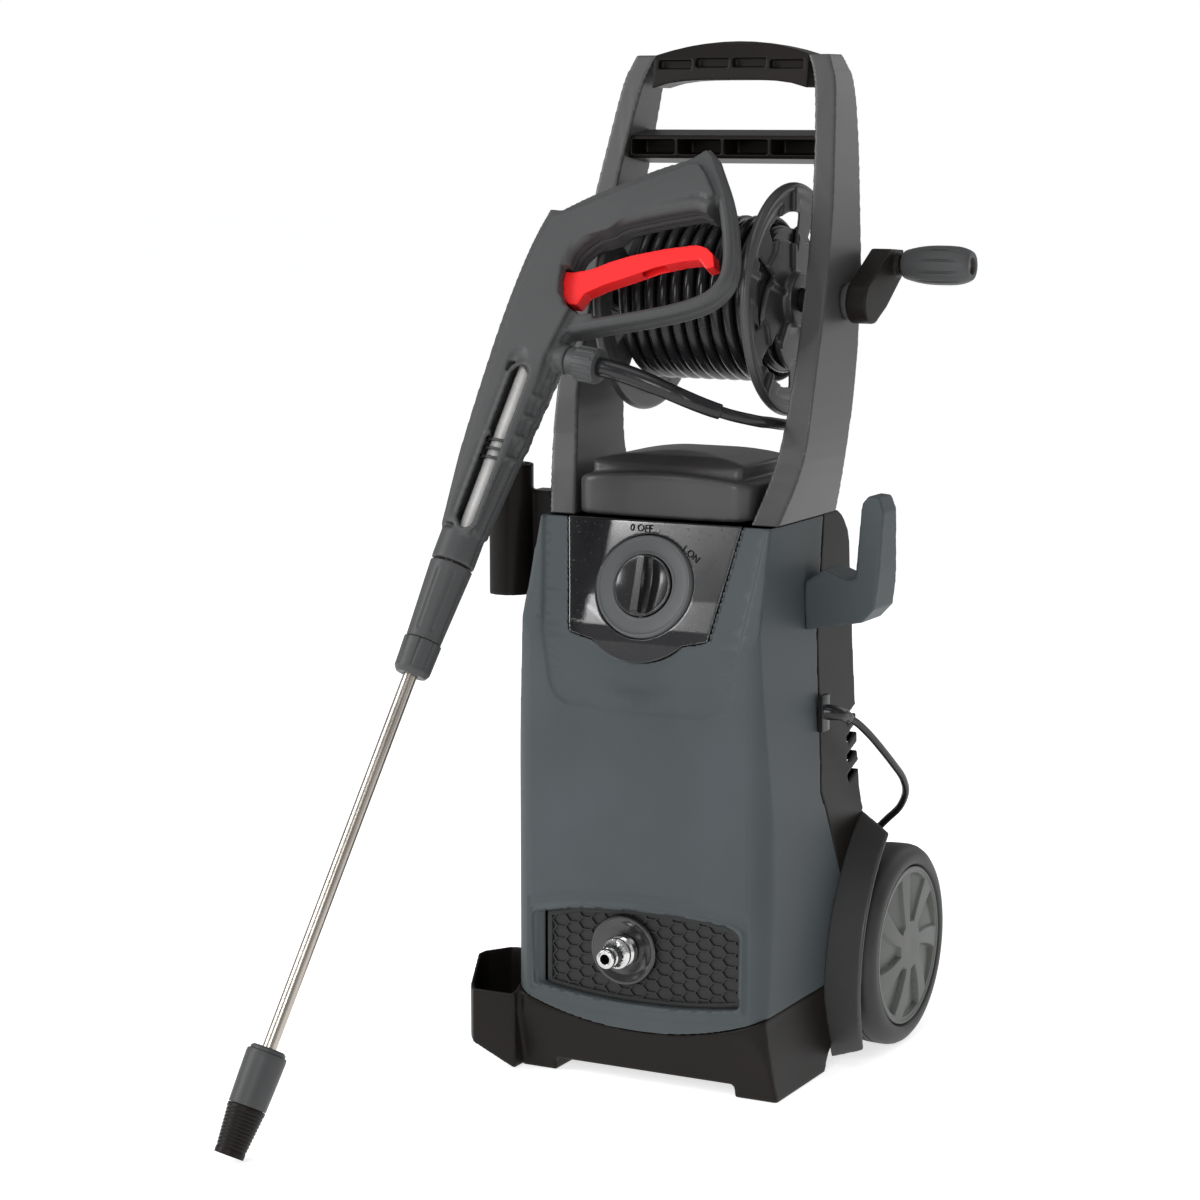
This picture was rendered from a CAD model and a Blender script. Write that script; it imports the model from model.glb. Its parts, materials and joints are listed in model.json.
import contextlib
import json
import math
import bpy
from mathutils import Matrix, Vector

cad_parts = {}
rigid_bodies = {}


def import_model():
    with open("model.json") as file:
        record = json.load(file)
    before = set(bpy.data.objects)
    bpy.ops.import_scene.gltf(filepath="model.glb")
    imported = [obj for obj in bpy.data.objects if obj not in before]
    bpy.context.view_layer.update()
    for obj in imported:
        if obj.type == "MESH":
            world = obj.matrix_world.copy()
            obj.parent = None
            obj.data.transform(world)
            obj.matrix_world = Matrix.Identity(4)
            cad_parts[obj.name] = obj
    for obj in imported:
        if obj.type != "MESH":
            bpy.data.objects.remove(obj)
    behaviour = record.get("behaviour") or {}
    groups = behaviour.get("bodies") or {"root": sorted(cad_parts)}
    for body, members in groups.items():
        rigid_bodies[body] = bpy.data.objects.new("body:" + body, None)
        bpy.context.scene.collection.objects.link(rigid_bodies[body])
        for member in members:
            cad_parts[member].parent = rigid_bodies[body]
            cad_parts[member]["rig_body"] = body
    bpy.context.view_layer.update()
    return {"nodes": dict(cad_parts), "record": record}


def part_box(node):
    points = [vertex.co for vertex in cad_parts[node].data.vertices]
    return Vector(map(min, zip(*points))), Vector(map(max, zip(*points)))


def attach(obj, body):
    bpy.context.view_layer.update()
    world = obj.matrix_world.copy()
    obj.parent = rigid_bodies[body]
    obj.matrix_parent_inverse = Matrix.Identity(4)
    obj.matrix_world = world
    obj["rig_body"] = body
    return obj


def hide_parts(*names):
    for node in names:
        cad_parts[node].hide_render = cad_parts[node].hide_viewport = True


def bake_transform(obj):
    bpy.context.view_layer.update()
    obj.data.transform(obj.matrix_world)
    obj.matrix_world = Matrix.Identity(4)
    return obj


bl_info = {
    "name": "Upright pressure washer",
    "version": (1, 0, 0),
    "blender": (4, 5, 0),
    "location": "View3D > Sidebar > Washer",
    "description": "Finishes, cords and moulded detail of an upright pressure washer with its gun and lance",
    "category": "Object",
}

import bmesh
import bpy
from mathutils import Matrix, Vector
from mathutils.bvhtree import BVHTree

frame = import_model()


def centre(node):
    """The middle of a node's box."""
    low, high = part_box(node)
    return (low + high) / 2


# the point of the floor under the machine's own middle, between the uprights
AXLE_HEIGHT = 0.0915
AXLE_BACK = 0.054
MACHINE = centre("wheel_axle") - Vector((0, AXLE_BACK, AXLE_HEIGHT))


def at_machine(point):
    """A point given from the machine's middle, in the frame."""
    return MACHINE + Vector(point)


# ---------------------------------------------------------------- settings


class WasherSizes(bpy.types.PropertyGroup):
    """Sizes that a user would change."""

    edge_round: bpy.props.FloatProperty(
        name="Edge rounding", description="Rounding of the small fittings' edges", default=0.0006, unit="LENGTH"
    )
    lead_d: bpy.props.FloatProperty(
        name="Lead diameter", description="Diameter of the mains lead", default=0.0068, unit="LENGTH"
    )
    hose_d: bpy.props.FloatProperty(
        name="Hose diameter", description="Diameter of the pressure hose", default=0.010, unit="LENGTH"
    )
    hose_turns: bpy.props.FloatProperty(
        name="Turns on the reel", description="Turns in the hose's outer layer", default=9.75
    )
    lens: bpy.props.FloatProperty(
        name="Focal length", description="Focal length of the camera in millimetres", default=95.1
    )


class WasherColours(bpy.types.PropertyGroup):
    """Colours of the mouldings."""

    shell: bpy.props.FloatVectorProperty(
        name="Casing", description="Grey of the front casing", subtype="COLOR", default=(0.0525, 0.0625, 0.0665)
    )
    black: bpy.props.FloatVectorProperty(
        name="Black mouldings", description="Black of the base, rear casing and bars", subtype="COLOR",
        default=(0.0100, 0.0080, 0.0068),
    )
    upright: bpy.props.FloatVectorProperty(
        name="Uprights", description="Charcoal of the uprights", subtype="COLOR", default=(0.044, 0.0435, 0.043)
    )
    grip: bpy.props.FloatVectorProperty(
        name="Gun", description="Dark grey of the gun and crank", subtype="COLOR", default=(0.056, 0.057, 0.058)
    )
    trigger: bpy.props.FloatVectorProperty(
        name="Trigger", description="Red of the trigger", subtype="COLOR", default=(0.86, 0.018, 0.020)
    )
    disc: bpy.props.FloatVectorProperty(
        name="Wheel discs", description="Grey of the wheel discs", subtype="COLOR", default=(0.098, 0.104, 0.096)
    )


# ---------------------------------------------------------------- shader maths


class Number:
    """A shader value. Python's operators on it add the matching Math nodes."""

    def __init__(self, finish, socket):
        self.finish = finish
        self.socket = socket

    def join(self, operation, first, second):
        return self.finish.node("ShaderNodeMath", {"operation": operation}, {0: first, 1: second})[0]

    def __add__(self, other):
        return self.join("ADD", self, other)

    def __radd__(self, other):
        return self.join("ADD", other, self)

    def __mul__(self, other):
        return self.join("MULTIPLY", self, other)

    def __rmul__(self, other):
        return self.join("MULTIPLY", other, self)

    def __gt__(self, other):
        return self.join("GREATER_THAN", self, other)


class Finish:
    """One procedural material, built round a Principled shader."""

    def __init__(self, name, roughness=0.5, metallic=0.0, specular=0.5, coat=0.0):
        self.material = bpy.data.materials.new(name)
        self.material.use_nodes = True
        self.tree = self.material.node_tree
        self.shader = self.tree.nodes["Principled BSDF"]
        self.shader.inputs["Roughness"].default_value = roughness
        self.shader.inputs["Metallic"].default_value = metallic
        self.shader.inputs["Specular IOR Level"].default_value = specular
        self.shader.inputs["Coat Weight"].default_value = coat
        self.shader.inputs["Coat Roughness"].default_value = 0.08
        self.place = self.node("ShaderNodeTexCoord")["Object"]

    def fill(self, socket, value):
        if isinstance(value, Number):
            self.tree.links.new(value.socket, socket)
        else:
            socket.default_value = value

    def node(self, kind, settings=None, inputs=None):
        """Adds a node; settings first, then its sockets. Returns its outputs by name and place."""
        node = self.tree.nodes.new(kind)
        for key, value in (settings or {}).items():
            setattr(node, key, value)
        for key, value in (inputs or {}).items():
            self.fill(node.inputs[key], value)
        outputs = {}
        for index, socket in enumerate(node.outputs):
            outputs.setdefault(socket.name, Number(self, socket))
            outputs[index] = Number(self, socket)
        return outputs

    def ramp(self, value, stops):
        """A colour ramp with its stops as (place, colour)."""
        node = self.tree.nodes.new("ShaderNodeValToRGB")
        elements = node.color_ramp.elements
        while len(elements) < len(stops):
            elements.new(0.5)
        for element, (place, colour) in zip(elements, stops):
            element.position = place
            element.color = (*colour, 1.0)
        self.fill(node.inputs["Fac"], value)
        return Number(self, node.outputs["Color"])

    def noise(self, scale, detail=3.0, roughness=0.5, place=None):
        return self.node(
            "ShaderNodeTexNoise",
            inputs={"Vector": place or self.place, "Scale": scale, "Detail": detail, "Roughness": roughness},
        )["Fac"]

    def stretched(self, scale):
        """Object coordinates stretched along the axes."""
        return self.node("ShaderNodeMapping", inputs={"Vector": self.place, "Scale": scale})["Vector"]

    def set(self, name, value):
        self.fill(self.shader.inputs[name], value)

    def bump(self, height, strength, distance):
        normal = self.node(
            "ShaderNodeBump", inputs={"Height": height, "Strength": strength, "Distance": distance}
        )["Normal"]
        self.set("Normal", normal)

    def done(self):
        return self.material


def shade(colour, factor):
    """A colour made lighter or darker."""
    return tuple(min(1.0, channel * factor) for channel in colour)


def moulded(name, colour, roughness, grain=900.0, depth=0.00012, mottle=0.10, specular=0.26, strength=0.35):
    """Moulded plastic: a spark-eroded grain, soft flow marks, and a sheen that varies a little."""
    finish = Finish(name, roughness=roughness, specular=specular)
    flow = finish.noise(9.0, 4.0)
    fine = finish.noise(grain, 2.0)
    finish.set("Base Color", finish.ramp(flow, [(0.3, shade(colour, 1 - mottle)), (0.7, shade(colour, 1 + mottle))]))
    finish.set("Roughness", flow * 0.12 + fine * 0.10 + (roughness - 0.11))
    finish.bump(fine, strength, depth)
    return finish.done()


def polished(name, colour, roughness=0.16):
    """Polished black moulding with faint handling marks."""
    finish = Finish(name, roughness=roughness, specular=0.6, coat=0.35)
    smear = finish.noise(14.0, 5.0, 0.6)
    dust = finish.noise(420.0, 1.0) > 0.72
    finish.set("Base Color", finish.ramp(smear, [(0.3, colour), (0.8, shade(colour, 1.5))]))
    finish.set("Roughness", smear * 0.16 + dust * 0.18 + (roughness - 0.06))
    return finish.done()


def rubber(name, colour, roughness=0.42, grain=600.0):
    """Rubber or soft vinyl with scuffs."""
    finish = Finish(name, roughness=roughness, specular=0.36)
    scuff = finish.noise(38.0, 6.0, 0.65)
    fine = finish.noise(grain, 2.0)
    worn = [(0.35, colour), (0.62, shade(colour, 1.35)), (0.8, shade(colour, 1.9))]
    finish.set("Base Color", finish.ramp(scuff, worn))
    finish.set("Roughness", scuff * 0.30 + (roughness - 0.15))
    finish.bump(fine * 0.6 + scuff * 0.4, 0.25, 0.00015)
    return finish.done()


def drawn_metal(name, colour, roughness, stretch=(1400.0, 1400.0, 25.0), metallic=1.0):
    """Metal with fine lines along its length."""
    finish = Finish(name, roughness=roughness, metallic=metallic)
    lines = finish.noise(1.0, 3.0, 0.55, place=finish.stretched(stretch))
    patches = finish.noise(26.0, 3.0)
    finish.set("Base Color", finish.ramp(patches, [(0.3, shade(colour, 0.88)), (0.7, colour)]))
    finish.set("Roughness", lines * 0.14 + patches * 0.08 + (roughness - 0.1))
    finish.bump(lines, 0.12, 0.00005)
    return finish.done()


def painted(name, colour, roughness=0.38):
    """Stoved paint with slight orange peel."""
    finish = Finish(name, roughness=roughness, specular=0.5, coat=0.2)
    peel = finish.noise(260.0, 2.0)
    finish.set("Base Color", finish.ramp(finish.noise(12.0), [(0.3, shade(colour, 0.9)), (0.7, shade(colour, 1.1))]))
    finish.set("Roughness", peel * 0.1 + (roughness - 0.05))
    finish.bump(peel, 0.2, 0.0001)
    return finish.done()


FINISHES = {}


def make_finishes(colours):
    """One material for each finish of the product."""
    FINISHES.update(
        {
            "shell_grey": moulded("casing_grey_moulding", colours.shell, 0.52, grain=1100.0),
            "black_plastic": moulded("black_moulding", colours.black, 0.42, grain=1000.0, mottle=0.14, specular=0.13),
            "upright_charcoal": moulded(
                "upright_charcoal_moulding", colours.upright, 0.38, grain=1000.0, specular=0.5
            ),
            "gloss_black": polished("polished_black_moulding", (0.008, 0.008, 0.009)),
            "dial_grey": moulded("dial_grey_moulding", (0.100, 0.104, 0.106), 0.42, grain=1500.0, depth=0.00005),
            "grip_dark": moulded("gun_grey_moulding", colours.grip, 0.46, grain=1300.0, mottle=0.08),
            "tyre_black": rubber("tyre_rubber", (0.022, 0.021, 0.021), 0.50),
            "disc_grey": moulded("wheel_disc_moulding", colours.disc, 0.42, grain=1400.0, depth=0.00006),
            "hose_black": rubber("hose_rubber", (0.010, 0.010, 0.011), 0.24, grain=900.0),
            "trigger_red": moulded(
                "trigger_red_moulding", colours.trigger, 0.36, grain=1500.0, depth=0.00004, mottle=0.05
            ),
            "steel": drawn_metal("drawn_steel_tube", (0.45, 0.41, 0.365), 0.24),
            "bright_tube": drawn_metal("bright_steel_tube", (0.93, 0.92, 0.90), 0.36, metallic=0.2),
            "holder_black": moulded(
                "holder_black_moulding", shade(colours.black, 0.8), 0.34, grain=1000.0, specular=0.12
            ),
            "grille_black": moulded("grille_black_moulding", (0.020, 0.020, 0.020), 0.40, grain=1200.0),
            "plated": drawn_metal("plated_coupling", (0.62, 0.62, 0.61), 0.16, (60.0, 900.0, 60.0)),
            "brass": drawn_metal("turned_brass", (0.72, 0.47, 0.19), 0.25, (600.0, 600.0, 90.0)),
            "cast_alloy": painted("cast_alloy_skin", (0.40, 0.41, 0.42), 0.5),
            "motor_paint": painted("motor_paint", (0.21, 0.23, 0.24)),
            "switch_body": moulded("switch_body_moulding", (0.66, 0.63, 0.55), 0.45),
            "plug_black": rubber("plug_rubber", (0.013, 0.013, 0.013), 0.40),
        }
    )


SLOT_OF = {part["node"]: part["material_slot"] for part in frame["record"]["subparts"]}


def body_of_node(node):
    """The body that carries a CAD node."""
    return frame["nodes"][node]["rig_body"]


# ---------------------------------------------------------------- modelling helpers

MM = 0.001
MERGED = 0.000005
FLAT = math.radians(0.6)
MOST_TRIANGLES = 80000

# for each moulding, the voxel of its skin and how many steps ease its edges
SKINS = {
    "front_shell": (0.0015, 5), "rear_shell": (0.0014, 2), "base_tray": (0.0016, 4), "top_cover": (0.0015, 18),
    "cable_hook": (0.0012, 6), "lance_holder": (0.0010, 6), "control_panel": (0.0008, 4), "switch_knob": (0.0005, 4),
    "wheel_guard_left": (0.0012, 5), "wheel_guard_right": (0.0012, 5),
    "upright_left": (0.0013, 3), "upright_right": (0.0013, 3), "grip_bar": (0.0009, 4), "cross_bar": (0.0009, 4),
    "reel_flange_left": (0.0010, 3), "reel_flange_right": (0.0010, 3), "crank_arm": (0.0010, 5),
    "crank_grip": (0.0005, 1), "gun_shell_front": (0.0011, 7), "gun_shell_back": (0.0011, 7),
    "trigger": (0.0008, 9), "trigger_lock": (0.0007, 8), "lance_sleeve": (0.0006, 3), "lance_nut": (0.0006, 3),
    "nozzle_sleeve": (0.0006, 3),
}


def from_mm(x, y, z):
    """A point given in millimetres from the machine's middle, in the frame."""
    return at_machine((x * MM, y * MM, z * MM))


def to_mm(point):
    """A point of the frame in millimetres from the machine's middle."""
    return (point - MACHINE) / MM


def in_metres(profile):
    return [(along * MM, radius * MM) for along, radius in profile]


def select_only(*pieces):
    bpy.ops.object.select_all(action="DESELECT")
    for piece in pieces:
        piece.select_set(True)
    bpy.context.view_layer.objects.active = pieces[0]


def placed(name, mesh):
    """Puts a mesh in the scene as a new piece."""
    piece = bpy.data.objects.new(name, mesh)
    bpy.context.scene.collection.objects.link(piece)
    return piece


def from_corners(name, corners, faces, edges=()):
    """A new piece from its corners, faces and loose edges."""
    mesh = bpy.data.meshes.new(name)
    mesh.from_pydata(corners, edges, faces)
    return placed(name, mesh)


@contextlib.contextmanager
def editing(piece, everything=True):
    """Edit mode on one piece, at first with everything selected."""
    select_only(piece)
    bpy.ops.object.mode_set(mode="EDIT")
    if everything:
        bpy.ops.mesh.select_all(action="SELECT")
    yield
    bpy.ops.object.mode_set(mode="OBJECT")


def draw_out(along):
    """Extrudes what is selected."""
    bpy.ops.mesh.extrude_region_move(TRANSFORM_OT_translate={"value": along})


def face_outwards():
    bpy.ops.mesh.select_all(action="SELECT")
    bpy.ops.mesh.normals_make_consistent(inside=False)


def modified(piece, kind, **settings):
    """Gives a piece a modifier with its settings and applies it."""
    modifier = piece.modifiers.new(kind.lower(), kind)
    for key, value in settings.items():
        setattr(modifier, key, value)
    select_only(piece)
    bpy.ops.object.modifier_apply(modifier=modifier.name)


def settle(piece):
    """Puts a piece's place into its mesh."""
    select_only(piece)
    bpy.ops.object.transform_apply(location=True, rotation=True, scale=True)


def smooth_by_angle(piece, degrees=30.0):
    select_only(piece)
    bpy.ops.object.shade_smooth_by_angle(angle=math.radians(degrees))


def coat(piece, slot, finish=None):
    """Gives a piece its finish, which is the slot's own unless another is named."""
    piece.data.materials.clear()
    piece.data.materials.append(FINISHES[finish or slot])


def dress(piece, slot, body, *nodes, finish=None):
    """Gives a piece its finish and body; it stands for the nodes named."""
    coat(piece, slot, finish)
    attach(piece, body)
    if nodes:
        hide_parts(*nodes)
    return piece


def finished(node, finish=None):
    """A CAD node that shows as it is, with its finish."""
    coat(frame["nodes"][node], SLOT_OF[node], finish)
    smooth_by_angle(frame["nodes"][node])


def copied(node):
    """A merged copy of a CAD node's mesh, with its flat faces whole again."""
    mesh = frame["nodes"][node].data.copy()
    mesh.name = node + "_moulding"
    piece = placed(mesh.name, mesh)
    with editing(piece):
        bpy.ops.mesh.remove_doubles(threshold=MERGED)
        bpy.ops.mesh.dissolve_limited(angle_limit=FLAT)
    return piece


def softened(node, width=None, angle=32.0):
    """The moulded piece of a CAD node: the same shape with its edges rounded."""
    piece = copied(node)
    modified(
        piece, "BEVEL", width=width or bpy.context.scene.washer_sizes.edge_round, segments=3,
        limit_method="ANGLE", angle_limit=math.radians(angle), use_clamp_overlap=False,
    )
    smooth_by_angle(piece)
    return dress(piece, SLOT_OF[node], body_of_node(node), node)


def fuse(piece, voxel, steps):
    """Turns a piece into one even skin and eases its edges, as a mould does."""
    modified(piece, "REMESH", mode="VOXEL", voxel_size=voxel, use_smooth_shade=True)
    modified(piece, "SMOOTH", factor=0.5, iterations=steps)


def thin_out(piece):
    """Keeps a piece under a number of triangles."""
    triangles = sum(len(face.vertices) - 2 for face in piece.data.polygons)
    if triangles > MOST_TRIANGLES:
        modified(piece, "DECIMATE", ratio=MOST_TRIANGLES / triangles)


def cut_away(piece, *cutters):
    """Takes the room of each cutter out of a piece."""
    for cutter in cutters:
        modified(piece, "BOOLEAN", operation="DIFFERENCE", solver="EXACT", object=cutter)
        bpy.data.objects.remove(cutter)


def joined(piece, *others):
    """Makes several pieces one."""
    select_only(piece, *others)
    bpy.ops.object.join()
    return piece


def rounded(node, shape=None, cuts=(), adds=(), late_cuts=(), finish=None):
    """The moulded piece of a CAD node: cut, added to, fused, eased, shaped by its relief and thinned out."""
    voxel, steps = SKINS[node]
    piece = copied(node)
    cut_away(piece, *cuts)
    if adds:
        joined(piece, *adds)
    if late_cuts:
        fuse(piece, voxel, 0)
        cut_away(piece, *late_cuts)
    fuse(piece, voxel, steps)
    if shape:
        shape(piece)
    thin_out(piece)
    return dress(piece, SLOT_OF[node], body_of_node(node), node, finish=finish)


def slab(name, outline, along, grow=1.0, about=None):
    """A solid from a flat outline, drawn out along a vector; its far end may be larger."""
    piece = from_corners(name, [Vector(p) for p in outline], [list(range(len(outline)))])
    with editing(piece):
        draw_out(Vector(along))
        if grow != 1.0:
            bpy.ops.transform.resize(value=(grow, grow, grow), center_override=Vector(about))
        face_outwards()
    return piece


def bead(name, points, radius, closed=True, sides=10):
    """A round bead laid along points."""
    path = [Vector(p) for p in points]
    if closed:
        path += [path[0], path[1]]
    return tube(name, path, radius, sides=sides)


def inside_by(x, y, outline):
    """How far a place lies inside a flat outline, negative outside it."""
    nearest = 1e9
    within = False
    for (ax, ay), (bx, by) in zip(outline, outline[1:] + outline[:1]):
        ux, uy = bx - ax, by - ay
        part = min(max(((x - ax) * ux + (y - ay) * uy) / (ux * ux + uy * uy), 0.0), 1.0)
        nearest = min(nearest, math.hypot(x - ax - part * ux, y - ay - part * uy))
        if (ay > y) != (by > y) and x < ax + (y - ay) * ux / uy:
            within = not within
    return nearest if within else -nearest


def clipped(polygon, outline):
    """The part of a convex polygon that lies in a convex outline; both run anticlockwise."""
    kept = polygon
    for (ax, ay), (bx, by) in zip(outline, outline[1:] + outline[:1]):
        sides = [(bx - ax) * (y - ay) - (by - ay) * (x - ax) for x, y in kept]
        cut = []
        for i, (point, side) in enumerate(zip(kept, sides)):
            before, side_before = kept[i - 1], sides[i - 1]
            if (side >= 0) != (side_before >= 0):
                t = side_before / (side_before - side)
                cut.append((before[0] + t * (point[0] - before[0]), before[1] + t * (point[1] - before[1])))
            if side >= 0:
                cut.append(point)
        kept = cut
        if len(kept) < 3:
            return []
    return kept


def area_of(polygon):
    return sum(a[0] * b[1] - b[0] * a[1] for a, b in zip(polygon, polygon[1:] + polygon[:1])) / 2


def spline(points, steps):
    """A smooth curve through points, with steps pieces to each span."""
    points = [Vector(p) for p in points]
    line = []
    for i in range(len(points) - 1):
        a = points[max(i - 1, 0)]
        b = points[i]
        c = points[i + 1]
        d = points[min(i + 2, len(points) - 1)]
        for k in range(steps):
            t = k / steps
            line.append(
                0.5 * (2 * b + (c - a) * t + (2 * a - 5 * b + 4 * c - d) * t * t + (3 * b - a - 3 * c + d) * t**3)
            )
    return line + [points[-1]]


def tube(name, path, radius, sides=16):
    """A round tube along a path, closed at its ends; its map runs round it and along it."""
    mesh = bpy.data.meshes.new(name)
    shape = bmesh.new()
    layer = shape.loops.layers.uv.new("along")
    rings = []
    run = [0.0]
    for i in range(1, len(path)):
        run.append(run[-1] + (path[i] - path[i - 1]).length)
    across = None
    for i, point in enumerate(path):
        ahead = (path[min(i + 1, len(path) - 1)] - path[max(i - 1, 0)]).normalized()
        if across is None:
            across = ahead.orthogonal().normalized()
        across = (across - across.dot(ahead) * ahead).normalized()
        up = ahead.cross(across)
        turn = [2 * math.pi * k / sides for k in range(sides)]
        rings.append([shape.verts.new(point + radius * (math.cos(a) * across + math.sin(a) * up)) for a in turn])
    for i in range(len(rings) - 1):
        for k in range(sides):
            n = (k + 1) % sides
            face = shape.faces.new((rings[i][k], rings[i][n], rings[i + 1][n], rings[i + 1][k]))
            face.smooth = True
            this, after = k / sides, (k + 1) / sides
            places = [(this, run[i]), (after, run[i]), (after, run[i + 1]), (this, run[i + 1])]
            for loop, place in zip(face.loops, places):
                loop[layer].uv = place
    shape.faces.new(list(reversed(rings[0])))
    shape.faces.new(rings[-1])
    shape.to_mesh(mesh)
    shape.free()
    return placed(name, mesh)


def turned(name, profile, start, axis, sides):
    """A turned piece: profile is [(distance along the axis, radius)], spun about the axis from start."""
    corners = [(radius, 0.0, along) for along, radius in profile]
    piece = from_corners(name, corners, [], [(i, i + 1) for i in range(len(corners) - 1)])
    with editing(piece):
        bpy.ops.mesh.spin(steps=sides, angle=2 * math.pi, center=(0, 0, 0), axis=(0, 0, 1))
        bpy.ops.mesh.select_all(action="SELECT")
        bpy.ops.mesh.remove_doubles(threshold=MERGED)
        face_outwards()
    turn = Vector((0, 0, 1)).rotation_difference(Vector(axis)).to_matrix().to_4x4()
    piece.matrix_world = Matrix.Translation(start) @ turn
    settle(piece)
    return piece


# ---------------------------------------------------------------- camera and stage

AZIMUTH = math.radians(27.5)
PITCH = math.radians(8.8)
SENSOR = 36.0
CAMERA_PLACE = at_machine((1.1995, -2.5536, 0.8407))


class WASHER_OT_camera(bpy.types.Operator):
    """Places the camera."""

    bl_idname = "washer.camera"
    bl_label = "Camera"

    def execute(self, context):
        camera = bpy.data.cameras.new("washer_camera")
        camera.sensor_width = SENSOR
        camera.lens = context.scene.washer_sizes.lens
        holder = bpy.data.objects.new("washer_camera", camera)
        holder.location = CAMERA_PLACE
        holder.rotation_euler = (math.pi / 2 - PITCH, 0.0, AZIMUTH)
        context.scene.collection.objects.link(holder)
        context.scene.camera = holder
        return {"FINISHED"}


FLOOR_SIZE = 40.0
FLOOR_HEIGHT = -0.0005
FLOOR_GLOW = 0.69
ROOM_LIGHT = (0.97, 0.98, 1.0, 1.0)
ROOM_STRENGTH = 0.36
WHITE = (1.0, 1.0, 1.0, 1.0)
MACHINE_MIDDLE = (0.0, 0.0, 0.45)
PANEL_MIDDLE = (0.0, 0.036, 0.475)
# each lamp's name, place, width and height, power, and the point that it faces
LAMPS = (
    ("key_left", (-2.9, -2.1, 2.0), (1.2, 2.2), 80.0, MACHINE_MIDDLE),
    ("front", (0.7, -3.6, 1.6), (1.2, 1.0), 34.0, MACHINE_MIDDLE),
    ("panel_strip", (-1.59, -2.60, 2.05), (0.14, 0.34), 4.5, PANEL_MIDDLE),
    ("fill_right", (2.8, -1.0, 1.4), (0.8, 2.2), 3.0, MACHINE_MIDDLE),
    ("top", (0.0, -0.6, 2.8), (1.6, 1.2), 10.0, MACHINE_MIDDLE),
    ("back_rim", (1.2, 2.4, 1.8), (1.5, 2.0), 12.0, MACHINE_MIDDLE),
)


def soft_light(name, place, size, power, towards):
    """A flat lamp that faces a point."""
    lamp = bpy.data.lights.new(name, "AREA")
    lamp.shape = "RECTANGLE"
    lamp.size, lamp.size_y = size
    lamp.energy = power
    holder = bpy.data.objects.new(name, lamp)
    holder.location = place
    holder.rotation_euler = (Vector(towards) - Vector(place)).to_track_quat("-Z", "Y").to_euler()
    bpy.context.scene.collection.objects.link(holder)


class WASHER_OT_stage(bpy.types.Operator):
    """Lays the pale floor and sets the studio lights."""

    bl_idname = "washer.stage"
    bl_label = "Stage"

    def execute(self, context):
        self.lay_floor()
        context.scene.world = self.room()
        context.scene.view_settings.view_transform = "Standard"
        for lamp in LAMPS:
            soft_light(*lamp)
        return {"FINISHED"}

    def lay_floor(self):
        """A pale floor that glows enough to meet the white behind it."""
        bpy.ops.object.select_all(action="DESELECT")
        bpy.ops.mesh.primitive_plane_add(size=FLOOR_SIZE, location=(0, 0, FLOOR_HEIGHT))
        floor = bpy.context.active_object
        floor.name = "studio_floor"
        pale = Finish("studio_floor_paper", roughness=0.9, specular=0.1)
        cloudy = pale.noise(0.7, 2.0)
        pale.set("Base Color", pale.ramp(cloudy, [(0.2, (0.86, 0.86, 0.86)), (0.8, (0.90, 0.90, 0.90))]))
        pale.set("Emission Color", WHITE)
        pale.set("Emission Strength", FLOOR_GLOW)
        floor.data.materials.append(pale.done())

    def room(self):
        """A dim room that lights the machine, and that the camera itself sees as white."""
        world = bpy.data.worlds.new("studio")
        world.use_nodes = True
        tree = world.node_tree
        dim = tree.nodes["Background"]
        dim.inputs["Color"].default_value = ROOM_LIGHT
        dim.inputs["Strength"].default_value = ROOM_STRENGTH
        seen = tree.nodes.new("ShaderNodeBackground")
        seen.inputs["Color"].default_value = WHITE
        by_ray = tree.nodes.new("ShaderNodeLightPath")
        either = tree.nodes.new("ShaderNodeMixShader")
        tree.links.new(by_ray.outputs["Is Camera Ray"], either.inputs["Fac"])
        tree.links.new(dim.outputs["Background"], either.inputs[1])
        tree.links.new(seen.outputs["Background"], either.inputs[2])
        tree.links.new(either.outputs["Shader"], tree.nodes["World Output"].inputs["Surface"])
        return world


# ---------------------------------------------------------------- cords

LEAD_ROUTE = [
    (0.136, -0.039, 0.315), (0.139, -0.026, 0.308), (0.1425, -0.006, 0.294), (0.1455, 0.016, 0.277),
    (0.1475, 0.038, 0.260), (0.148, 0.058, 0.2445), (0.1445, 0.074, 0.228), (0.1345, 0.084, 0.211),
    (0.120, 0.089, 0.197), (0.105, 0.093, 0.181), (0.093, 0.098, 0.162), (0.084, 0.102, 0.139),
    (0.077, 0.105, 0.113), (0.071, 0.108, 0.086), (0.0655, 0.110, 0.063), (0.0605, 0.114, 0.043),
    (0.057, 0.121, 0.0275), (0.0562, 0.1295, 0.016), (0.0572, 0.1388, 0.0086), (0.060, 0.148, 0.005),
    (0.0639, 0.1584, 0.0044),
]
LEAD_STEPS = 4
COIL_CENTRE = Vector((0.008, 0.186, 0.0))
COIL_LAYERS = 4
COIL_RINGS = 32
COIL_OUT = 0.062
COIL_STEP = 0.009
COIL_TURNS = 3.5
COIL_RISE = 0.0084
COIL_LIFT = 0.001
COIL_START = math.radians(-20)
COIL_TAIL = 0.032
COIL_ALL = COIL_LAYERS * COIL_TURNS + 1.5


def ease(t):
    """Runs smoothly from 0 to 1 as t does."""
    t = min(max(t, 0.0), 1.0)
    return t * t * (3 - 2 * t)


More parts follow.
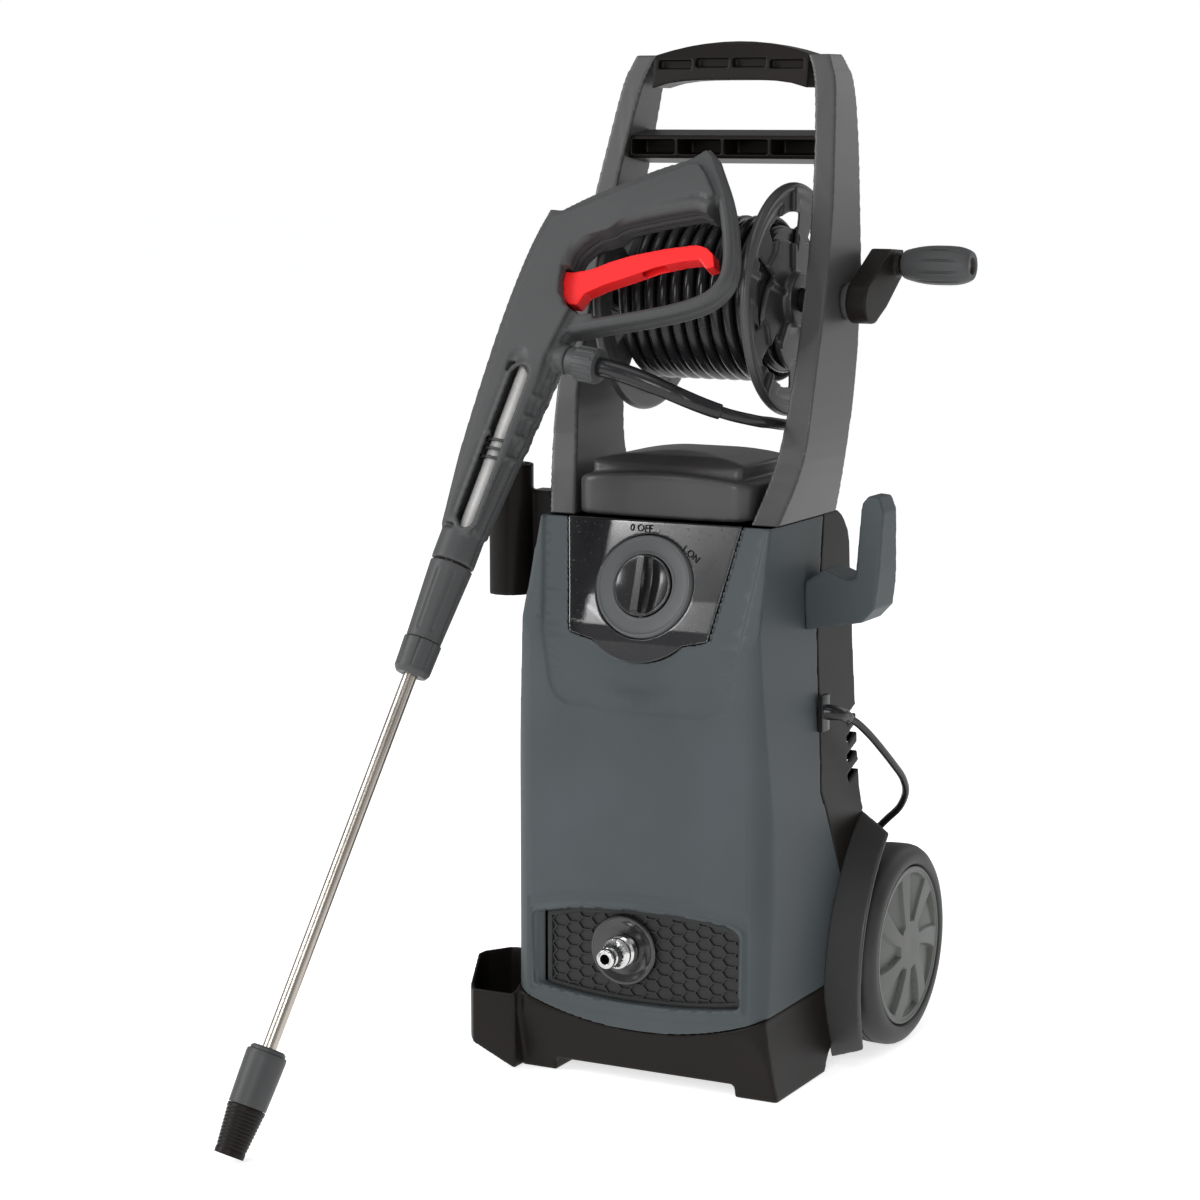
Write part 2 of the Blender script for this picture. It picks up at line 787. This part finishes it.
def coil_point(turn, lead_r):
    """A point of the piled coil: four layers that spiral in and out again."""
    inner = COIL_OUT - COIL_TURNS * COIL_STEP
    layer = min(int(turn / (COIL_TURNS + 0.5)), COIL_LAYERS - 1)
    part = turn - layer * (COIL_TURNS + 0.5)
    wound = min(part, COIL_TURNS) * COIL_STEP
    radius = COIL_OUT - wound if layer % 2 == 0 else inner + wound
    angle = COIL_START + 2 * math.pi * turn
    height = COIL_LIFT + lead_r + COIL_RISE * (layer + ease((part - COIL_TURNS) * 2))
    return COIL_CENTRE + Vector((radius * math.cos(angle), radius * math.sin(angle), height))


def length_of(path):
    """A path's length to the millimetre."""
    return round(sum((path[i + 1] - path[i]).length for i in range(len(path) - 1)), 3)


class WASHER_OT_mains_lead(bpy.types.Operator):
    """Lays the mains lead from its gland to the coil behind the machine."""

    bl_idname = "washer.mains_lead"
    bl_label = "Mains lead"

    def execute(self, context):
        sizes = context.scene.washer_sizes
        lead_r = sizes.lead_d / 2
        path = spline([at_machine(p) for p in LEAD_ROUTE], LEAD_STEPS)
        turns = [coil_point(i / COIL_RINGS, lead_r) for i in range(1, int(COIL_ALL * COIL_RINGS) + 1)]
        end = coil_point(COIL_ALL, lead_r)
        end_angle = COIL_START + 2 * math.pi * COIL_ALL
        ahead = Vector((-math.sin(end_angle), math.cos(end_angle), 0.0))
        tail = [end + ahead * COIL_TAIL * k / 4 for k in range(1, 5)]
        path += [at_machine(p) for p in turns + tail]
        lead = tube("mains_lead_cable", path, lead_r, sides=14)
        dress(lead, "hose_black", "root", "mains_lead", "lead_coil")
        tie = softened("lead_tie", 0.0005)
        plug = softened("mains_plug", 0.0009)
        length_of(path)
        gland = softened("cable_gland", angle=40)
        gland.name = "cable_gland_boot"
        return {"FINISHED"}


HOSE_ROUTE = [
    (0.0665, -0.158, 0.590), (0.073, -0.1535, 0.5875), (0.0795, -0.1465, 0.585), (0.085, -0.137, 0.5825),
    (0.0885, -0.125, 0.580), (0.090, -0.110, 0.578), (0.090, -0.090, 0.575), (0.088, -0.064, 0.5715),
    (0.083, -0.034, 0.5685), (0.076, -0.004, 0.5685), (0.068, 0.026, 0.574), (0.061, 0.050, 0.589),
    (0.056, 0.066, 0.611), (0.053, 0.071, 0.637), (0.051, 0.068, 0.661), (0.050, 0.061, 0.683),
    (0.050, 0.055, 0.700), (0.050, 0.047, 0.716),
]
HOSE_STEPS = 5


class WASHER_OT_free_hose(bpy.types.Operator):
    """Runs the hose from the gun's strain relief round onto the reel."""

    bl_idname = "washer.free_hose"
    bl_label = "Hose to the gun"

    def execute(self, context):
        sizes = context.scene.washer_sizes
        path = spline([at_machine(p) for p in HOSE_ROUTE], HOSE_STEPS)
        hose = tube("free_hose", path, sizes.hose_d / 2, sides=24)
        coat(hose, "hose_black")
        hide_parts("hose_free")
        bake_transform(hose)
        length_of(path)
        return {"FINISHED"}


REEL = Vector((0.0, -0.022, 0.677))
WINDING_R = 0.0674
WINDING_PITCH = 0.0124
WINDING_RINGS = 56
WINDING_START = math.radians(150)
UNDER_DEPTH = 0.0082
UNDER_FEWER = 0.25


class WASHER_OT_wound_hose(bpy.types.Operator):
    """Winds the hose on the reel."""

    bl_idname = "washer.wound_hose"
    bl_label = "Wound hose"

    def execute(self, context):
        sizes = context.scene.washer_sizes
        turns = sizes.hose_turns
        outer = tube("wound_hose", self.winding(WINDING_R, turns, 0.0), sizes.hose_d / 2, sides=16)
        dress(outer, "hose_black", "reel", "hose_winding")
        under = self.winding(WINDING_R - UNDER_DEPTH, turns - UNDER_FEWER, WINDING_PITCH / 2)
        inner = tube("wound_hose_under", under, sizes.hose_d / 2, sides=12)
        dress(inner, "hose_black", "reel")
        finished("hose_core")
        return {"FINISHED"}

    def winding(self, radius, count, offset):
        """The path of one layer, side by side along the drum."""
        path = []
        for i in range(int(count * WINDING_RINGS) + 1):
            angle = WINDING_START + 2 * math.pi * i / WINDING_RINGS
            x = offset + WINDING_PITCH * (i / WINDING_RINGS - count / 2)
            path.append(at_machine(REEL + Vector((x, radius * math.cos(angle), radius * math.sin(angle)))))
        return path


# ---------------------------------------------------------------- machine body


# the sunk field round the control panel, and the inlet opening, as (x, z) in millimetres from the front
PANEL_FIELD = [
    (-110, 530), (-108, 500), (-86, 361), (-84, 350), (-78, 340), (-68, 334.5), (-29, 332), (20, 331), (66, 331.5),
    (77, 334), (85, 342), (89, 355), (95, 385), (107, 500), (109, 530),
]
INLET_TOP = [(-104, 148), (-60, 157), (0, 161), (60, 160), (90, 157)]
INLET_WALL = [(-104, -186.2, 76), (-90.5, -175.6, 76), (-104, -170, 76)]
INLET_WALL_HEIGHT = 74 * MM
FIELD_DEPTH = 2.1
SURROUND_DEPTH = 1.6


def inlet_outline(inset):
    """The inlet opening as seen from the front, anticlockwise from its lower left, in millimetres."""
    bottom = [(t * (101 - inset), 80 + inset - 8 * (1 - t * t)) for t in [k / 6 - 1 for k in range(13)]]
    turn = [math.radians(20 * k) for k in range(5)]
    corner = [(94 - inset + 8 * math.cos(a), 147 - inset + 8 * math.sin(a)) for a in turn]
    top = [(min(max(x, -103 + inset), 92), z - inset) for x, z in reversed(INLET_TOP[:-1])]
    return bottom + corner + top


def grille_outline(inset):
    """The grille as seen from the front: the opening without the slanted wall on its left."""
    left = -92.5 + inset
    return clipped(inlet_outline(inset), [(left, 0), (300, 0), (300, 300), (left, 300)])


def sink_front(piece):
    """Sinks the field round the panel and the soft surround of the inlet into the front."""
    surround = inlet_outline(0)
    sunk = []
    for vertex in piece.data.vertices:
        x, y, z = to_mm(vertex.co)
        if vertex.normal.y > -0.25 or y > -138 or abs(x) > 124:
            continue
        depth = 0.0
        if z > 320 and abs(x) < 116:
            depth = FIELD_DEPTH * ease((inside_by(x, z, PANEL_FIELD) + 1.2) / 2.8)
            if z < 350:  # the field runs out under the panel's round end
                depth *= 1 - 0.75 * math.exp(-(((x + 4) / 26) ** 2))
        elif 58 < z < 182 and y < -182:
            depth = SURROUND_DEPTH * (1 - ease((-inside_by(x, z, surround) - 9.5) / 4.0))
        if depth:
            sunk.append((vertex, vertex.normal * depth * MM))
    for vertex, move in sunk:
        vertex.co -= move


class WASHER_OT_casing(bpy.types.Operator):
    """Finishes the casing, the base and the wheel guards."""

    bl_idname = "washer.casing"
    bl_label = "Casing and base"

    def execute(self, context):
        wall = slab("inlet_left_wall", [from_mm(*corner) for corner in INLET_WALL], (0, 0, INLET_WALL_HEIGHT))
        rounded("front_shell", sink_front, adds=[wall])
        rounded("rear_shell")
        rounded("base_tray")
        rounded("top_cover", finish="upright_charcoal")
        rounded("cable_hook")
        rounded("lance_holder", finish="holder_black")
        for side in ("left", "right"):
            rounded("wheel_guard_" + side, finish="upright_charcoal")
        for node in ("shell_screws", "motor", "pump", "outlet_pipe", "inlet_pipe", "capacitor", "rotary_switch"):
            finished(node)
        return {"FINISHED"}


DIAL_TILT = math.atan2(22, 68)
DIAL_PLACE = from_mm(0, -164.419, 438)
DIAL_AXIS = Vector((0, -math.cos(DIAL_TILT), math.sin(DIAL_TILT)))
DIAL_RING = in_metres([
    (0.6, 27.3), (5.6, 27.3), (6.4, 27.8), (6.4, 29.0), (5.5, 29.8), (5.2, 31.0), (5.2, 40.0), (5.5, 41.3),
    (6.4, 42.0), (6.4, 43.2), (5.6, 44.0), (0.6, 45.0), (0.6, 27.3),
])
# each mark's name, words, place on the front in millimetres and turn in degrees
MARKS = (("zero_mark", "0 OFF", -10.5, 486.5, 0), ("one_mark", "1 ON", 39.0, 468.0, -34))
LETTER_SIZE = 0.0085
LETTER_RISE = 0.0006
LETTER_EDGE = 0.0001
# the panel's flat face leans back as it rises, in millimetres
PANEL_FACE_Y = -182.2
PANEL_FACE_Z = 392
PANEL_LEAN = 0.318
PANEL_END = 396


class WASHER_OT_controls(bpy.types.Operator):
    """Finishes the control panel, its dial and its marks."""

    bl_idname = "washer.controls"
    bl_label = "Control panel"

    def execute(self, context):
        panel = rounded("control_panel", even_panel)
        for mark in MARKS:
            self.mark(panel, *mark)
        ring = turned("dial_ring_moulding", DIAL_RING, DIAL_PLACE, DIAL_AXIS, 96)
        smooth_by_angle(ring, 40)
        dress(ring, "dial_grey", "root", "dial_ring")
        rounded("switch_knob", hollow_knob, finish="gloss_black")
        return {"FINISHED"}

    def mark(self, panel, name, words, x, z, turn):
        """Raises small lettering on the panel."""
        surface = BVHTree.FromObject(panel, bpy.context.evaluated_depsgraph_get())
        place, normal, _, _ = surface.ray_cast(from_mm(x, -400, z), Vector((0, 1, 0)))
        bpy.ops.object.select_all(action="DESELECT")
        bpy.ops.object.text_add(location=(0, 0, 0))
        letters = bpy.context.active_object
        letters.name = name
        letters.data.body = words
        letters.data.size = LETTER_SIZE
        letters.data.extrude = LETTER_RISE
        letters.data.bevel_depth = LETTER_EDGE
        letters.data.align_x = "CENTER"
        letters.data.align_y = "CENTER"
        bpy.ops.object.convert(target="MESH")
        facing = Vector((0, normal.y, normal.z)).normalized().to_track_quat("Z", "Y").to_matrix().to_4x4()
        letters.matrix_world = Matrix.Translation(place) @ facing @ Matrix.Rotation(math.radians(turn), 4, "Z")
        settle(letters)
        dress(letters, "black_plastic", "root")


def even_panel(piece):
    """Carries the panel's flat face on down over the round end, so that the end stands proud of the casing."""
    for vertex in piece.data.vertices:
        _, y, z = to_mm(vertex.co)
        face = PANEL_FACE_Y - (PANEL_FACE_Z - z) * PANEL_LEAN
        if z < PANEL_END and vertex.normal.y < -0.5 and face < y:
            vertex.co.y += (face - y) * MM


def hollow_knob(piece):
    """Dishes the knob's face beside its bar."""
    for vertex in piece.data.vertices:
        away = vertex.co - DIAL_PLACE
        height = away.dot(DIAL_AXIS) / MM
        radius = (away - DIAL_AXIS * away.dot(DIAL_AXIS)).length / MM
        if height > 9.2 and abs(away.x) < 7.0 * MM:
            vertex.co.x -= away.x * 0.42
        elif 6.2 < height < 9.2 and radius < 24.5 and abs(away.x) > 5.0 * MM:
            vertex.co -= DIAL_AXIS * 3.6 * MM * (1 - (radius / 25) ** 2)


# the grille's cells, its face and the middle of the inlet on the front, in millimetres
CELL_PITCH = 12.6
CELL_HEIGHT = 10.8
CELL_FLAT = 4.0
CELL_WALL = 0.55
CELL_DEPTH = 1.8
LEAST_CELL = 1.0
LEAST_POCKET = 14
GRILLE_FACE = -176.0
GRILLE_MIDDLE = (-1.0, 118.0)
GRILLE_THICK = 3.4
BORDER_THICK = 4.4
INLET = (-14, 121)
DISH_SEAT = 29
DISH = in_metres([
    (1.2, 7.2), (1.2, 23.4), (4.4, 23.4), (4.4, 30.4), (5.0, 31.0), (7.2, 31.0), (8.1, 30.3), (8.5, 29.0),
    (8.2, 27.2), (6.8, 24.6), (6.2, 21.0), (6.0, 14.0), (6.0, 7.2), (1.2, 7.2),
])


class WASHER_OT_inlet(bpy.types.Operator):
    """Finishes the suction grille and the water inlet."""

    bl_idname = "washer.inlet"
    bl_label = "Water inlet"

    def execute(self, context):
        grille_slot = SLOT_OF["inlet_grille"]
        dress(self.cells(), grille_slot, "root", "inlet_grille", finish="grille_black")
        dress(self.border(), grille_slot, "root", finish="grille_black")
        dish = turned("inlet_dish_moulding", DISH, from_mm(INLET[0], GRILLE_FACE + 4, INLET[1]), (0, -1, 0), 72)
        smooth_by_angle(dish, 35)
        dress(dish, SLOT_OF["inlet_dish"], "root", "inlet_dish", finish="gloss_black")
        softened("inlet_connector", 0.0003)
        return {"FINISHED"}

    def cells(self):
        """A plate of six-sided pockets with thin walls."""
        field = grille_outline(7.0)
        corners = []
        faces = []
        pockets = []
        for column in range(-9, 10):
            for row in range(-5, 6):
                x = column * CELL_PITCH + GRILLE_MIDDLE[0]
                z = GRILLE_MIDDLE[1] + (row + 0.5 * (column % 2)) * CELL_HEIGHT
                half = CELL_HEIGHT / 2
                cell = [
                    (x - CELL_FLAT, z - half), (x + CELL_FLAT, z - half), (x + CELL_PITCH - CELL_FLAT, z),
                    (x + CELL_FLAT, z + half), (x - CELL_FLAT, z + half), (x - CELL_PITCH + CELL_FLAT, z),
                ]
                cell = clipped(cell, field)
                if not cell or area_of(cell) < LEAST_CELL:
                    continue
                if max(math.hypot(px - INLET[0], pz - INLET[1]) for px, pz in cell) < DISH_SEAT:
                    continue
                pockets.append(area_of(cell) > LEAST_POCKET)
                faces.append(list(range(len(corners), len(corners) + len(cell))))
                corners += [from_mm(px, GRILLE_FACE, pz) for px, pz in cell]
        plate = from_corners("inlet_grille_cells", corners, faces)
        for face, pocket in zip(plate.data.polygons, pockets):
            face.select = pocket
        with editing(plate, everything=False):
            bpy.ops.mesh.select_mode(type="FACE")
            bpy.ops.mesh.inset(thickness=CELL_WALL * MM, use_individual=True, use_boundary=True)
            draw_out((0, CELL_DEPTH * MM, 0))
            bpy.ops.mesh.select_all(action="SELECT")
            bpy.ops.mesh.remove_doubles(threshold=0.00003)
            bpy.ops.mesh.normals_make_consistent(inside=False)
            bpy.ops.mesh.select_all(action="DESELECT")
            bpy.ops.mesh.select_mode(type="EDGE")
            bpy.ops.mesh.select_non_manifold()
            draw_out((0, GRILLE_THICK * MM, 0))
            bpy.ops.mesh.edge_face_add()
            bpy.ops.mesh.select_mode(type="VERT")
        smooth_by_angle(plate, 20)
        return plate

    def border(self):
        """The plain raised border of the grille."""
        outer = grille_outline(2.9)
        inner = grille_outline(7.2)
        count = min(len(outer), len(inner))
        outer, inner = outer[:count], inner[:count]
        places = [from_mm(x, GRILLE_FACE - 0.7, z) for x, z in outer + inner]
        faces = [[i, (i + 1) % count, count + (i + 1) % count, count + i] for i in range(count)]
        ring = from_corners("inlet_grille_border", places, faces)
        with editing(ring):
            draw_out((0, BORDER_THICK * MM, 0))
            face_outwards()
        modified(ring, "BEVEL", width=0.5 * MM, segments=2, limit_method="ANGLE", angle_limit=math.radians(60))
        smooth_by_angle(ring, 35)
        return ring


class WASHER_OT_handle(bpy.types.Operator):
    """Finishes the uprights and the bars between them."""

    bl_idname = "washer.handle"
    bl_label = "Handle"

    def execute(self, context):
        for side in ("left", "right"):
            rounded("upright_" + side, finish="upright_charcoal")
        rounded("grip_bar")
        rounded("cross_bar")
        return {"FINISHED"}


FLANGE_WINDOWS = 5
WINDOW_STEPS = 10
# a flange window's first angle and its sweep, and its radii as parts of the flange's
WINDOW_START, WINDOW_SWEEP = 0.08, 0.86
WINDOW_RIM, WINDOW_HUB, WINDOW_TAPER = 0.75, 0.42, 0.20


class WASHER_OT_reel(bpy.types.Operator):
    """Finishes the hose reel and its crank."""

    bl_idname = "washer.reel"
    bl_label = "Hose reel"

    def execute(self, context):
        for side, out in (("left", -1), ("right", 1)):
            self.flange("reel_flange_" + side, out)
        rounded("crank_arm", finish="black_plastic")
        rounded("crank_grip")
        softened("reel_bushes", 0.0012)
        finished("reel_drum")
        finished("crank_pin")
        return {"FINISHED"}

    def flange(self, node, out):
        """A flange with its turned web and its curved windows."""
        low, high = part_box(node)
        middle = (low + high) / 2
        radius = (high.z - low.z) / 2
        thick = min(high.x - low.x, 0.006)
        inner = low.x + 0.0008 if out > 0 else high.x - 0.0008
        profile = [
            (0.0, 0.012), (0.0, radius - 0.004), (thick * 0.55, radius - 0.004), (thick * 0.55, radius * 0.86),
            (thick * 0.3, radius * 0.80), (thick * 0.3, radius * 0.34), (thick * 0.8, radius * 0.27),
            (thick * 0.8, 0.012), (0.0, 0.012),
        ]
        web = turned("web", profile, Vector((inner, middle.y, middle.z)), (out, 0, 0), 96)
        starts = [2 * math.pi * k / FLANGE_WINDOWS for k in range(FLANGE_WINDOWS)]
        windows = [self.window(middle, radius, start, out) for start in starts]
        rounded(node, adds=[web], late_cuts=windows, finish="upright_charcoal")

    def window(self, middle, radius, start, out):
        """A curved window in the flange, narrower at one end."""
        there = [k / WINDOW_STEPS for k in range(WINDOW_STEPS + 1)]
        outline = [(part, radius * WINDOW_RIM) for part in there]
        outline += [(part, radius * (WINDOW_HUB + WINDOW_TAPER * part)) for part in [1 - k for k in there]]
        corners = []
        for part, reach in outline:
            angle = start + (WINDOW_START + WINDOW_SWEEP * part) * out
            corners.append(middle + Vector((-0.02, reach * math.cos(angle), reach * math.sin(angle))))
        return slab("window", corners, (0.04, 0, 0))


GUN_FOOT = MACHINE + Vector((-0.2013, -0.511564, 0.0064))
GUN_TURN = Matrix.Rotation(math.radians(-27.8), 3, "X") @ Matrix.Rotation(math.radians(8), 3, "Y")
# lines on the gun's side, as (x, z) in millimetres: z runs up the lance
GUARD = [
    (108, 908), (120, 894), (133, 875), (145, 852), (154, 830), (157, 813), (153, 799), (141, 787), (120, 776),
    (95, 766), (70, 757), (48, 749), (32, 743),
]
GUARD_ROOM = [
    (50, 738), (50, 792), (62, 802), (118, 830), (127, 850), (119, 874), (128, 884), (146, 892), (172, 870),
    (175, 796), (120, 758),
]
WINDOW_CORNER = [(11, 790), (14, 773), (24, 760), (38, 756), (62, 762), (62, 806), (20, 806)]
GRIP_UNDERSIDE = [(6, 796), (7, 812), (18, 829), (38, 844), (62, 855), (88, 865), (110, 872), (124, 870)]
TRIGGER = [
    (-6, 779), (8, 772), (21, 764.5), (29.5, 765), (33, 777), (48, 787.5), (68.5, 798.5), (90, 811), (113.5, 820.5),
    (127.5, 824), (136.5, 817), (143.5, 820.5), (138.5, 831), (130, 836), (120, 837), (92, 828.7), (65, 818.5),
    (46, 809), (30, 799), (14, 793.5), (-6, 793),
]
LOCK_ROOM = [(47.5, 792), (47.5, 812), (50, 824), (92, 838), (97, 838), (97, 812.5)]
NOTCHES = [(24, 866), (51, 885), (77, 901)]
SLOT_FACE = [(4, 545), (15, 545), (22, 620), (25.5, 690), (24, 712), (4, 716)]
SLOT_CORNER = [(-9.5, 702), (9.5, 702), (9.5, 722), (-9.5, 722)]
GRIP_STEPS = [(25.5, 677), (24.5, 658), (23.5, 639), (22.5, 619)]
SLOT_LOW = 560.0
SLOT_HIGH = 690.0
RIB = [(-6.5, -9.5), (4, -13), (18, -13.5)]
RIB_HEIGHTS = (616, 624, 632)
# in millimetres through the gun: half of the whole gun, the notches, the trigger and the lock's recess
GUN_HALF = 26
NOTCH_HALF = 22
TRIGGER_HALF = 7.4
LOCK_HALF = 5.7


def on_gun(x, y, z):
    """A point given in millimetres on the gun: z up along the lance, y through its thickness."""
    return GUN_FOOT + GUN_TURN @ Vector((x, y, z)) * MM


def stadium(middle, half, low, high, y):
    """A long round-ended outline on the gun's side."""
    turn = [math.pi * k / 10 for k in range(11)]
    upper = [on_gun(middle + half * math.cos(a), y, high + half * math.sin(a)) for a in turn]
    lower = [on_gun(middle - half * math.cos(a), y, low - half * math.sin(a)) for a in turn]
    return upper + lower


def across_gun(name, outline, half):
    """A solid through the gun's thickness, reaching half to either side of its middle."""
    return slab(name, [on_gun(x, -half, z) for x, z in outline], GUN_TURN @ Vector((0, 2 * half * MM, 0)))


def side_beads(name, line, facing, depths, radius, sides):
    """Two beads side by side along a line on one side of the gun."""
    return [
        bead(name, spline([on_gun(x, facing * depth, z) for x, z in line], 4), radius * MM, closed=False, sides=sides)
        for depth in depths
    ]


class WASHER_OT_gun(bpy.types.Operator):
    """Finishes the trigger gun."""

    bl_idname = "washer.gun"
    bl_label = "Trigger gun"

    def execute(self, context):
        for side, facing in (("front", -1), ("back", 1)):
            adds = side_beads("guard", GUARD, facing, (2.5, 7.0), 5.4, 14)
            adds += side_beads("grip_underside", GRIP_UNDERSIDE, facing, (4.0, 11.0), 7.0, 16)
            cuts = [across_gun("room", outline, GUN_HALF) for outline in (GUARD_ROOM, WINDOW_CORNER)]
            cuts += [self.notch(x, z) for x, z in NOTCHES]
            late_cuts = []
            if side == "front":
                adds += self.slot_trim()
                late_cuts.append(self.slot_room())
            rounded("gun_shell_" + side, cuts=cuts, adds=adds, late_cuts=late_cuts)
        ribs = [bead("slot_ribs", [on_gun(x, y, z) for x, y in RIB], 1.4 * MM, closed=False) for z in RIB_HEIGHTS]
        dress(joined(*ribs), "grip_dark", "gun")
        trigger = across_gun("trigger_moulding", TRIGGER, TRIGGER_HALF)
        cut_away(trigger, across_gun("lock_room", LOCK_ROOM, LOCK_HALF))
        fuse(trigger, *SKINS["trigger"])
        dress(trigger, "trigger_red", body_of_node("trigger"), "trigger")
        rounded("trigger_lock")
        for node in ("hose_nut", "hose_relief"):
            softened(node)
        for node in ("gun_valve", "trigger_pin"):
            finished(node)
        finished("gun_tube", finish="bright_tube")
        return {"FINISHED"}

    def notch(self, x, z):
        """A short groove across the top ridge."""
        along = Vector((0.86, 0, 0.52))
        across = Vector((-0.52, 0, 0.86))
        middle = Vector((x, 0, z))
        corners = [middle + along * 0.9 * a + across * 6.5 * b for a, b in ((-1, -1), (1, -1), (1, 1), (-1, 1))]
        return across_gun("notch", [(corner.x, corner.z) for corner in corners], NOTCH_HALF)

    def slot_room(self):
        """The long slot over the lance tube, slanted towards the lance's face."""
        floor = stadium(0, 7.4, SLOT_LOW, SLOT_HIGH, 0.5)
        draw = GUN_TURN @ Vector((10.5, -24, 0)) * MM
        return slab("slot_room", floor, draw, 1.05, on_gun(10.5, -23.5, (SLOT_LOW + SLOT_HIGH) / 2))

    def slot_trim(self):
        """The face that carries the slot, its raised lips, the ribs on the barrel's edge and the outlet's boss."""
        plate = slab("slot_face", [on_gun(x, -17.6, z) for x, z in SLOT_FACE], GUN_TURN @ Vector((0, 13 * MM, 0)))
        lips = [
            bead("lip", stadium(7.6, 10.6, SLOT_LOW, SLOT_HIGH, -17.2), 1.7 * MM),
            bead("outer_lip", stadium(7.6, 13.6, SLOT_LOW, SLOT_HIGH, -17.4), 0.8 * MM),
        ]
        steps = [
            bead("step", [on_gun(x, -15.5, z - 2), on_gun(x + 2.4, -9, z), on_gun(x + 2.8, -2, z)], 2.0 * MM, False)
            for x, z in GRIP_STEPS
        ]
        boss = bead("boss", [on_gun(20, -1, 717), on_gun(38.8, -1, 717)], 13.0 * MM, closed=False, sides=40)
        web = slab("web", [on_gun(x, -17, z) for x, z in SLOT_CORNER], GUN_TURN @ Vector((0, 4 * MM, 0)))
        return [plate, boss, web] + lips + steps


class WASHER_OT_lance(bpy.types.Operator):
    """Finishes the lance and its nozzle."""

    bl_idname = "washer.lance"
    bl_label = "Lance"

    def execute(self, context):
        rounded("lance_sleeve")
        rounded("lance_nut")
        rounded("nozzle_sleeve", finish="black_plastic")
        finished("nozzle_body")
        finished("lance_tube")
        return {"FINISHED"}


# the tyre's section, in millimetres along the axle and from it
TYRE = in_metres([
    (124.0, 72.1), (122.0, 72.1), (119.6, 75.0), (119.0, 80.0), (119.8, 85.0), (122.0, 88.6), (124.5, 90.2),
    (127.0, 90.6), (127.6, 89.4), (129.4, 89.4), (130.0, 91.0), (132.6, 91.2), (133.2, 89.8), (135.0, 89.8),
    (135.6, 91.3), (138.4, 91.4), (139.0, 90.2), (140.6, 90.2), (141.2, 91.5), (147.0, 91.4), (151.0, 90.6),
    (154.6, 88.6), (157.4, 85.2), (158.8, 81.0), (159.2, 77.0), (158.6, 74.4), (156.0, 72.6), (154.0, 72.1),
    (124.0, 72.1),
])
DISC_WINDOWS = 7


class WASHER_OT_wheels(bpy.types.Operator):
    """Finishes the wheels and their axle."""

    bl_idname = "washer.wheels"
    bl_label = "Wheels"

    def execute(self, context):
        for side, out in (("left", -1), ("right", 1)):
            axis = Vector((out, 0, 0))
            middle = from_mm(0, 54, 91.5)
            disc = turned("wheel_disc_%s_moulding" % side, self.disc_profile(), middle, axis, 336)
            self.press_windows(disc, middle, out)
            smooth_by_angle(disc, 40)
            dress(disc, "disc_grey", body_of_node("wheel_disc_" + side), "wheel_disc_" + side)
            tyre = turned("tyre_%s_moulding" % side, TYRE, middle, axis, 128)
            smooth_by_angle(tyre)
            dress(tyre, "tyre_black", body_of_node("tyre_" + side), "tyre_" + side)
        finished("wheel_axle")
        return {"FINISHED"}

    def disc_profile(self):
        """The disc's section: hub, web and a fine outer face for the windows."""
        face = [(159.2, 0.0), (159.4, 6.0), (159.5, 11.0)]
        face += [(159.6 - 2.4 * ((r - 14) / 54) ** 2, r) for r in [14 + k for k in range(55)]]
        face += [(157.6, 68.6), (157.9, 69.4), (157.9, 71.2), (157.2, 71.9)]
        back = [(123.0, 71.9), (123.0, 64.0), (127.0, 64.0), (127.0, 20.0), (121.0, 20.0), (121.0, 6.1)]
        return in_metres(face + back + [(154.8, 6.1), (154.8, 9.8), (157.9, 9.8), (157.9, 0.0)])

    def press_windows(self, disc, middle, out):
        """Presses seven swept windows into the disc's face; each floor slopes like a blade."""
        pitch = 2 * math.pi / DISC_WINDOWS
        for vertex in disc.data.vertices:
            away = (vertex.co - middle) / MM
            radius = math.hypot(away.y, away.z)
            if out * away.x < 155 or not 20 < radius < 69:
                continue
            angle = math.atan2(away.z, away.y) * out + 0.0042 * (radius - 40)
            turn = (angle / pitch) % 1.0 - 0.5
            across = turn * pitch * radius
            half = 3.8 + 0.34 * (radius - 20)
            edge = min(half - abs(across), (radius - 22.5) * 0.8, 66.0 - radius)
            slope = 0.72 + 0.28 * across / half
            vertex.co.x -= out * MM * 5.2 * slope * ease(edge / 2.2 + 0.2)


class WASHER_PT_panel(bpy.types.Panel):
    """Lists the pieces of the washer."""

    bl_label = "Pressure washer"
    bl_idname = "WASHER_PT_panel"
    bl_space_type = "VIEW_3D"
    bl_region_type = "UI"
    bl_category = "Washer"

    def draw(self, context):
        for group in (context.scene.washer_sizes, context.scene.washer_colours):
            for name in group.__annotations__:
                self.layout.prop(group, name)
        for operator in OPERATORS:
            self.layout.operator(operator.bl_idname)


OPERATORS = (
    WASHER_OT_camera,
    WASHER_OT_mains_lead,
    WASHER_OT_free_hose,
    WASHER_OT_wound_hose,
    WASHER_OT_casing,
    WASHER_OT_controls,
    WASHER_OT_inlet,
    WASHER_OT_handle,
    WASHER_OT_reel,
    WASHER_OT_gun,
    WASHER_OT_lance,
    WASHER_OT_wheels,
    WASHER_OT_stage,
)
CLASSES = (WasherSizes, WasherColours, *OPERATORS, WASHER_PT_panel)


def register():
    for cls in CLASSES:
        bpy.utils.register_class(cls)
    bpy.types.Scene.washer_sizes = bpy.props.PointerProperty(type=WasherSizes)
    bpy.types.Scene.washer_colours = bpy.props.PointerProperty(type=WasherColours)


def unregister():
    del bpy.types.Scene.washer_colours
    del bpy.types.Scene.washer_sizes
    for cls in reversed(CLASSES):
        bpy.utils.unregister_class(cls)


def main():
    register()
    make_finishes(bpy.context.scene.washer_colours)
    for operator in OPERATORS:
        group, name = operator.bl_idname.split(".")
        getattr(getattr(bpy.ops, group), name)()


if __name__ == "__main__":
    main()
